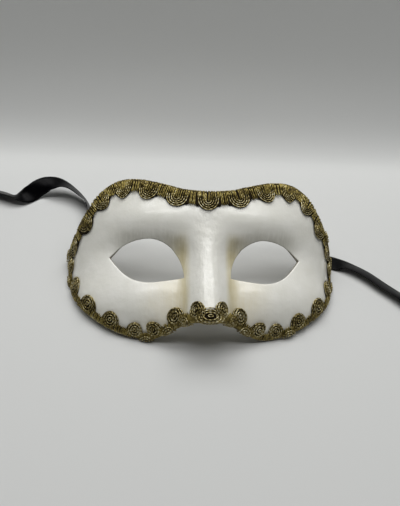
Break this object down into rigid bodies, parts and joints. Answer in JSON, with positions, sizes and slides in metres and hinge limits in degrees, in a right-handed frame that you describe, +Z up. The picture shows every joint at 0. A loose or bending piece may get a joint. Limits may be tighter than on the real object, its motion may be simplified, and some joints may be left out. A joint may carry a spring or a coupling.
{
  "type": "half mask",
  "caption": "Plain white papier-mache half-mask with open eyes and a nose ridge, a gold scroll braid round its rim, and a black satin ribbon from each temple lying loose on the table.",
  "frame": {"origin": "on the table, under the middle of the mask as it lies, ribbons left out", "axes": "+X towards the mask's side that is on the right when it is looked at, +Y away from the viewer towards the brow, +Z up from the table"},
  "size_m": [0.564, 0.157, 0.0644],
  "materials": {
    "shell": "gesso under clear gloss varnish, cream patina in the creases",
    "braid": "woven dull gold metallic thread",
    "ribbon": "black satin"
  },
  "bodies": {
    "root": {"mask_shell": "shell", "edge_braid": "braid", "ribbon_left": "ribbon", "ribbon_right": "ribbon", "ribbon_left_coil": "ribbon", "ribbon_right_coil": "ribbon"}
  },
  "joints": []
}
